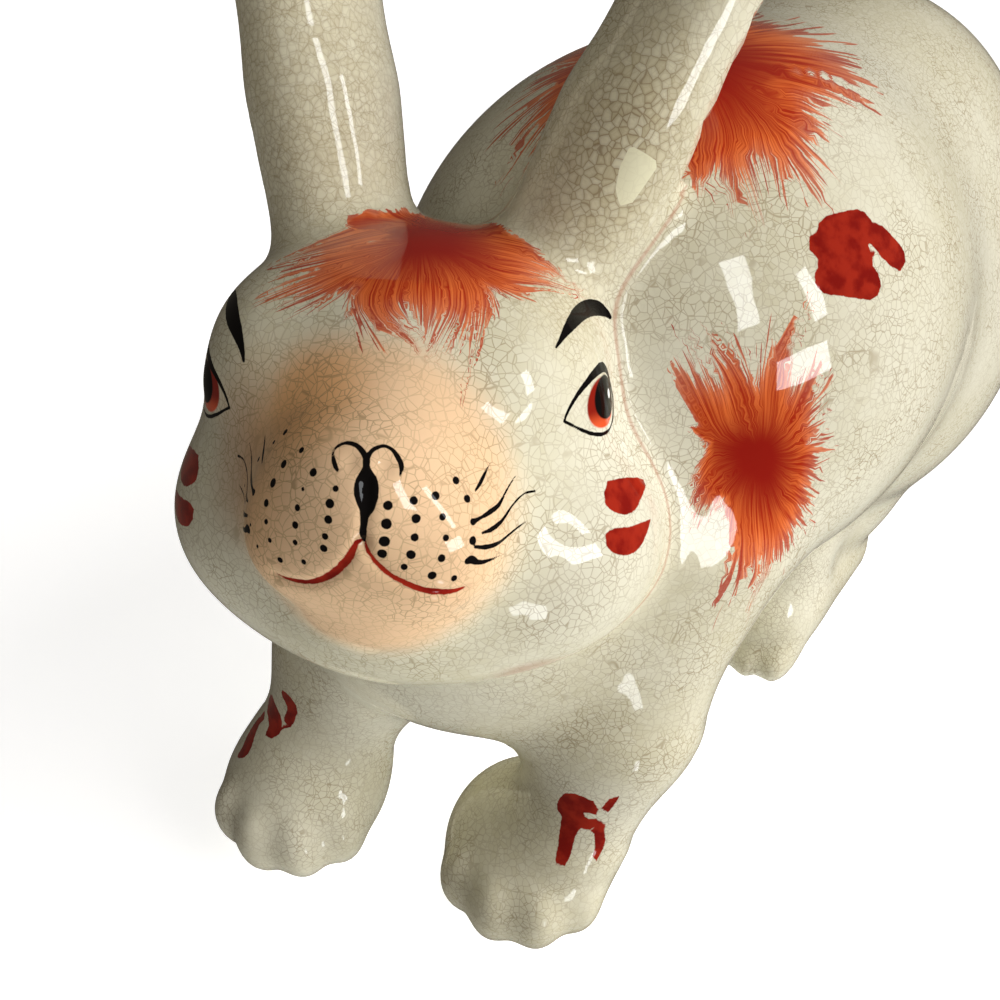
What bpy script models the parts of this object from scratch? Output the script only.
"""A standing hare with its head turned to its left: one hollow-cast, glazed ceramic figure.

The hare faces -Y, its left side is +X and it stands on Z = 0, with the origin under the middle
of its bounding box. The figure is a family of egg-shaped and tapered masses that flow into each
other. The masses are set up as spheres and cones, fused by a voxel remesh, and every vertex is
then drawn onto the surface where the masses blend softly, the way slip-cast clay does.
"""

import math

import bmesh
import bpy
import numpy as np

# The figure from paw tip to tail. Every other measure is a share of it, written as centimetres
# on a figure of the real size.
LENGTH = 0.3232
CM = LENGTH / 32.32

# Where the middle of the two front toe tips stands, seen from the origin, in centimetres.
FRONT_TOES = (0.13, -13.64)

# The head: centre, how far it is turned to the hare's left and how far the nose is lifted.
HEAD_CENTRE = (-0.5, 2.6, 15.2)
HEAD_TURN = 28.0
HEAD_LIFT = 20.0

# Each front paw: toe tip x and y, and the way it points, in degrees to the hare's left.
FRONT_PAWS = ((3.4, 0.8, 27.0), (-3.25, -1.7, 28.0))
TOE_FAN = (-52.0, -18.0, 16.0, 50.0)

# Each ear: side, lean outwards in degrees. Length and widths in centimetres.
EARS = ((1, 23.0), (-1, 10.0))
EAR_HALF = (1.3, 1.7, 7.0)
EAR_HOLLOW_HALF = (0.9, 1.05, 5.9)
EAR_MIDDLE = 6.0

# How softly the head flows into the body, and the finest remesh step.
HEAD_BLEND = 0.8
VOXEL = 0.35
FACE_BUDGET = 6600


def turned(yaw, pitch=0.0):
    """Axes (left, back, up) of a part turned to its left and lifted, as matrix columns."""
    y = math.radians(yaw)
    p = math.radians(pitch)
    front = np.array([math.cos(p) * math.sin(y), -math.cos(p) * math.cos(y), math.sin(p)])
    left = np.array([math.cos(y), math.sin(y), 0.0])
    up = np.cross(left, -front)
    return np.stack([left, -front, up], axis=1)


def egg(centre, half, blend, axes=None, hollow=False):
    """An ellipsoid mass, or with hollow an ellipsoid scooped out of what comes before it."""
    if axes is None:
        axes = np.eye(3)
    return {"kind": "egg", "centre": np.array(centre, float), "half": np.array(half, float),
            "axes": axes, "blend": blend, "hollow": hollow}


def limb(start, end, r_start, r_end, blend):
    """A tapered mass with round ends."""
    return {"kind": "limb", "start": np.array(start, float), "end": np.array(end, float),
            "radii": (r_start, r_end), "blend": blend, "hollow": False}


def body_masses():
    """Torso, legs, paws and tail, in centimetres from the front toes."""
    out = [
        egg((-0.15, 12.5, 14.0), (7.5, 8.2, 7.45), 1.0),
        egg((0.0, 20.8, 13.6), (7.0, 7.6, 8.0), 5.0),
        egg((-0.9, 4.6, 10.1), (5.0, 4.3, 4.6), 3.6, turned(20.0)),
        limb((-0.4, 4.6, 12.8), (0.0, 9.0, 13.6), 3.6, 4.8, 3.0),
        limb((3.0, 6.8, 10.9), (3.3, 5.0, 7.0), 3.1, 2.2, 2.6),
        limb((3.4, 5.0, 7.0), (3.25, 3.6, 3.6), 2.05, 1.65, 1.6),
        limb((-3.5, 5.4, 10.4), (-4.0, 3.2, 6.4), 3.0, 2.4, 2.6),
        limb((-4.0, 3.2, 6.4), (-4.5, 1.6, 3.2), 2.3, 1.95, 1.6),
        egg((0.0, 27.9, 14.2), (1.8, 1.9, 2.2), 1.2),
    ]
    for side in (1, -1):
        out.append(egg((side * 4.4, 20.6, 11.0), (3.1, 5.2, 4.9), 3.5))
        out.append(limb((side * 2.7, 17.4, 7.4), (side * 3.1, 17.0, 2.8), 2.2, 1.95, 2.0))
        out.append(egg((side * 3.7, 20.9, 5.8), (2.2, 2.9, 3.6), 2.5))
        out.append(limb((side * 3.4, 16.0, 1.7), (side * 3.6, 21.2, 1.8), 1.9, 1.75, 1.5))
        for across in (-1.25, -0.42, 0.42, 1.25):
            tip = (side * 3.4 + across, 14.9 + 0.22 * across ** 2, 0.95)
            out.append(egg(tip, (0.6, 1.2, 0.95), 0.5))
    for x, y, yaw in FRONT_PAWS:
        axes = turned(yaw)
        tip = np.array([x, y, 0.0])
        out.append(egg(tip + axes @ [-0.05, 2.6, 1.8], (2.45, 2.65, 2.1), 1.8, axes))
        for fan in TOE_FAN:
            q = math.radians(fan)
            place = tip + axes @ [math.sin(q) * 1.7 - 0.1, 2.7 - math.cos(q) * 1.8, 1.5]
            out.append(egg(place, (0.8, 1.05, 1.6), 0.45, turned(yaw + fan * 0.8, -12.0)))
    return out


def head_masses():
    """Skull, brows, cheeks, jaw, muzzle, chin and ears, placed in the head's own axes."""
    axes = turned(HEAD_TURN, HEAD_LIFT)
    middle = np.array(HEAD_CENTRE)

    def at(left, back, up):
        return middle + axes @ [left, back, up]

    out = [egg(at(-0.38, 0.9, 0.7), (3.92, 4.1, 3.6), 2.0, axes)]
    for side in (1, -1):
        out.append(egg(at(side * 2.12 - 0.28, -0.5, 1.5), (1.6, 2.2, 1.7), 2.0, axes))
        out.append(egg(at(side * 2.48 - 0.05, -0.2, -1.75), (2.7, 2.8, 2.5), 2.0, axes))
    out.append(egg(at(-0.1, -0.3, -3.15), (3.3, 3.0, 1.95), 2.0, axes))
    out.append(limb(at(0.0, -2.0, 1.0), at(0.0, -3.8, 0.0), 1.9, 1.2, 2.2))
    out.append(egg(at(0.0, -3.1, -0.75), (2.05, 1.85, 1.75), 2.6, axes))
    for side in (1, -1):
        out.append(egg(at(side * 0.95, -4.0, -0.85), (1.15, 1.0, 1.1), 0.7, axes))
    out.append(egg(at(0.0, -3.1, -2.1), (1.35, 1.2, 0.95), 1.0, axes))
    for side, lean in EARS:
        root = at(side * 2.1, 1.4, 2.9)
        tilt = math.radians(side * lean)
        up = axes @ [math.sin(tilt), math.sin(math.radians(3.0)), math.cos(tilt)]
        up = up / np.linalg.norm(up)
        outer = axes @ [side * 1.0, 0.35, 0.0]
        outer = outer - up * (outer @ up)
        outer = outer / np.linalg.norm(outer)
        frame = np.stack([outer, np.cross(up, outer), up], axis=1)
        centre = root + up * EAR_MIDDLE
        out.append(egg(centre, EAR_HALF, 1.2, frame))
        out.append(limb(root - up * 0.6, root + up * 3.6, 1.3, 1.25, 1.6))
        out.append(egg(centre + outer * 1.15 + up * 0.3, EAR_HOLLOW_HALF, 0.4, frame, True))
    return out


def mass_distance(p, mass):
    """About how far each point lies outside one mass."""
    if mass["kind"] == "egg":
        q = (p - mass["centre"]) @ mass["axes"]
        half = mass["half"]
        k0 = np.sqrt(((q / half) ** 2).sum(-1))
        k1 = np.sqrt(((q / half ** 2) ** 2).sum(-1)) + 1e-6
        return k0 * (k0 - 1.0) / k1
    a = mass["start"]
    axis = mass["end"] - a
    ra, rb = mass["radii"]
    length = float(np.linalg.norm(axis))
    axis = axis / length
    q = p - a
    along = q @ axis
    away = np.sqrt(np.maximum((q * q).sum(-1) - along ** 2, 0.0))
    sine = (ra - rb) / length
    cosine = math.sqrt(1.0 - sine ** 2)
    foot = np.clip(along + away * sine / cosine, 0.0, length)
    radius = ra + (rb - ra) * foot / length
    return np.sqrt(away ** 2 + (along - foot) ** 2) - radius


def soft_join(a, b, k):
    h = np.maximum(k - np.abs(a - b), 0.0) / k
    return np.minimum(a, b) - h ** 3 * k / 6.0


def soft_scoop(a, b, k):
    h = np.maximum(k - np.abs(a + b), 0.0) / k
    return np.maximum(a, -b) + h ** 3 * k / 6.0


def group_distance(p, masses):
    d = mass_distance(p, masses[0])
    for mass in masses[1:]:
        join = soft_scoop if mass["hollow"] else soft_join
        d = join(d, mass_distance(p, mass), mass["blend"])
    return d


def figure_distance(p, groups):
    body, head = groups
    return soft_join(group_distance(p, body), group_distance(p, head), HEAD_BLEND)


def add_seed(mass, collection):
    """The plain solid for one mass, as Blender objects."""
    made = []
    if mass["kind"] == "egg":
        bpy.ops.mesh.primitive_ico_sphere_add(subdivisions=4, radius=1.0)
        ball = bpy.context.object
        matrix = np.eye(4)
        matrix[:3, :3] = mass["axes"] * mass["half"]
        matrix[:3, 3] = mass["centre"]
        made.append((ball, matrix))
    else:
        a = mass["start"]
        b = mass["end"]
        ra, rb = mass["radii"]
        for centre, radius in ((a, ra), (b, rb)):
            bpy.ops.mesh.primitive_ico_sphere_add(subdivisions=3, radius=radius)
            matrix = np.eye(4)
            matrix[:3, 3] = centre
            made.append((bpy.context.object, matrix))
        length = float(np.linalg.norm(b - a))
        bpy.ops.mesh.primitive_cone_add(vertices=32, radius1=ra, radius2=rb, depth=length)
        up = (b - a) / length
        side = np.cross(up, [0.0, 1.0, 0.0] if abs(up[1]) < 0.9 else [1.0, 0.0, 0.0])
        side = side / np.linalg.norm(side)
        matrix = np.eye(4)
        matrix[:3, :3] = np.stack([side, np.cross(up, side), up], axis=1)
        matrix[:3, 3] = (a + b) / 2
        made.append((bpy.context.object, matrix))
    for seed, matrix in made:
        n = len(seed.data.vertices)
        co = np.empty(n * 3, dtype=np.float32)
        seed.data.vertices.foreach_get("co", co)
        co = co.reshape(n, 3) @ matrix[:3, :3].T.astype(np.float32) + matrix[:3, 3].astype(np.float32)
        if np.linalg.det(matrix[:3, :3]) < 0:
            seed.data.flip_normals()
        seed.data.vertices.foreach_set("co", co.ravel())
        seed.data.update()
        for other in list(seed.users_collection):
            other.objects.unlink(seed)
        collection.objects.link(seed)
    return [seed for seed, _ in made]


def scooped(seeds, cutter):
    """Cut one hollow out of the given seeds and remove the cutter."""
    graph = bpy.context.evaluated_depsgraph_get
    for seed in seeds:
        cut = seed.modifiers.new("scoop", "BOOLEAN")
        cut.operation = "DIFFERENCE"
        cut.object = cutter
    for seed in seeds:
        mesh = bpy.data.meshes.new_from_object(seed.evaluated_get(graph()))
        seed.modifiers.clear()
        seed.data = mesh
    bpy.data.objects.remove(cutter, do_unlink=True)


def remeshed(obj, voxel):
    """Replace an object's mesh by its voxel remesh."""
    modifier = obj.modifiers.new("fuse", "REMESH")
    modifier.mode = "VOXEL"
    modifier.voxel_size = voxel
    modifier.adaptivity = 0.0
    graph = bpy.context.evaluated_depsgraph_get()
    mesh = bpy.data.meshes.new_from_object(obj.evaluated_get(graph))
    old = obj.data
    obj.modifiers.clear()
    obj.data = mesh
    bpy.data.meshes.remove(old)


def settled(obj, groups, rounds, relax):
    """Draw every vertex onto the softly blended surface, easing the mesh between the steps."""
    mesh = obj.data
    n = len(mesh.vertices)
    co = np.empty(n * 3, dtype=np.float32)
    mesh.vertices.foreach_get("co", co)
    p = co.reshape(n, 3).astype(np.float64)
    edges = np.empty(len(mesh.edges) * 2, dtype=np.int32)
    mesh.edges.foreach_get("vertices", edges)
    edges = edges.reshape(-1, 2)
    degree = np.bincount(edges.ravel(), minlength=n)[:, None]
    step = 0.01
    for turn in range(rounds):
        if turn < relax:
            total = np.zeros_like(p)
            for axis in range(3):
                total[:, axis] += np.bincount(edges[:, 0], p[edges[:, 1], axis], n)
                total[:, axis] += np.bincount(edges[:, 1], p[edges[:, 0], axis], n)
            p = p + 0.5 * (total / degree - p)
        d = figure_distance(p, groups)
        slope = np.empty_like(p)
        for axis in range(3):
            nudge = np.zeros(3)
            nudge[axis] = step
            slope[:, axis] = (figure_distance(p + nudge, groups) - d) / step
        size = np.maximum((slope ** 2).sum(-1), 0.09)
        move = np.clip(d / size, -0.3, 0.3)
        p = p - slope * move[:, None]
    mesh.vertices.foreach_set("co", p.astype(np.float32).ravel())
    mesh.update()


def flat_footed(obj):
    """Cut the feet off flat at the ground and close the cuts."""
    bm = bmesh.new()
    bm.from_mesh(obj.data)
    everything = bm.verts[:] + bm.edges[:] + bm.faces[:]
    bmesh.ops.bisect_plane(bm, geom=everything, dist=1e-5, plane_co=(0.0, 0.0, 0.0),
                           plane_no=(0.0, 0.0, 1.0), clear_inner=True)
    rim = [edge for edge in bm.edges if edge.is_boundary]
    for vert in {v for edge in rim for v in edge.verts}:
        vert.co.z = 0.0
    bmesh.ops.holes_fill(bm, edges=rim, sides=0)
    bmesh.ops.triangulate(bm, faces=[face for face in bm.faces if len(face.verts) > 3])
    bmesh.ops.dissolve_degenerate(bm, dist=2e-5, edges=bm.edges[:])
    bmesh.ops.recalc_face_normals(bm, faces=bm.faces[:])
    bm.to_mesh(obj.data)
    bm.free()


def glaze_material():
    """Cream crackle glaze."""
    material = bpy.data.materials.new("cream_glaze")
    material.use_nodes = True
    shader = material.node_tree.nodes["Principled BSDF"]
    shader.inputs["Base Color"].default_value = (0.66, 0.62, 0.47, 1.0)
    shader.inputs["Roughness"].default_value = 0.12
    shader.inputs["Metallic"].default_value = 0.0
    return material


def main():
    for old in list(bpy.data.objects):
        bpy.data.objects.remove(old, do_unlink=True)

    collection = bpy.data.collections.new("standing_hare")
    bpy.context.scene.collection.children.link(collection)

    groups = (body_masses(), head_masses())
    seeds = []
    for masses in groups:
        for mass in masses:
            made = add_seed(mass, collection)
            if mass["hollow"]:
                scooped(ear, made[0])
                continue
            seeds.extend(made)
            ear = seeds[-4:]

    bpy.ops.object.select_all(action="DESELECT")
    for seed in seeds:
        seed.select_set(True)
    bpy.context.view_layer.objects.active = seeds[0]
    bpy.ops.object.join()
    hare = bpy.context.view_layer.objects.active
    hare.name = "hare"
    hare.data.name = "hare"

    remeshed(hare, VOXEL)
    settled(hare, groups, 8, 4)
    remeshed(hare, VOXEL)
    settled(hare, groups, 10, 6)

    thin = hare.modifiers.new("thin", "DECIMATE")
    thin.ratio = FACE_BUDGET / (2.0 * len(hare.data.polygons))
    thin.use_collapse_triangulate = True
    graph = bpy.context.evaluated_depsgraph_get()
    mesh = bpy.data.meshes.new_from_object(hare.evaluated_get(graph))
    hare.modifiers.clear()
    hare.data = mesh

    n = len(mesh.vertices)
    co = np.empty(n * 3, dtype=np.float32)
    mesh.vertices.foreach_get("co", co)
    co = (co.reshape(n, 3) + np.array([FRONT_TOES[0], FRONT_TOES[1], 0.0], dtype=np.float32)) * CM
    mesh.vertices.foreach_set("co", co.astype(np.float32).ravel())
    mesh.update()

    flat_footed(hare)
    mesh.name = "hare"
    mesh.materials.clear()
    mesh.materials.append(glaze_material())
    mesh.shade_smooth()


main()
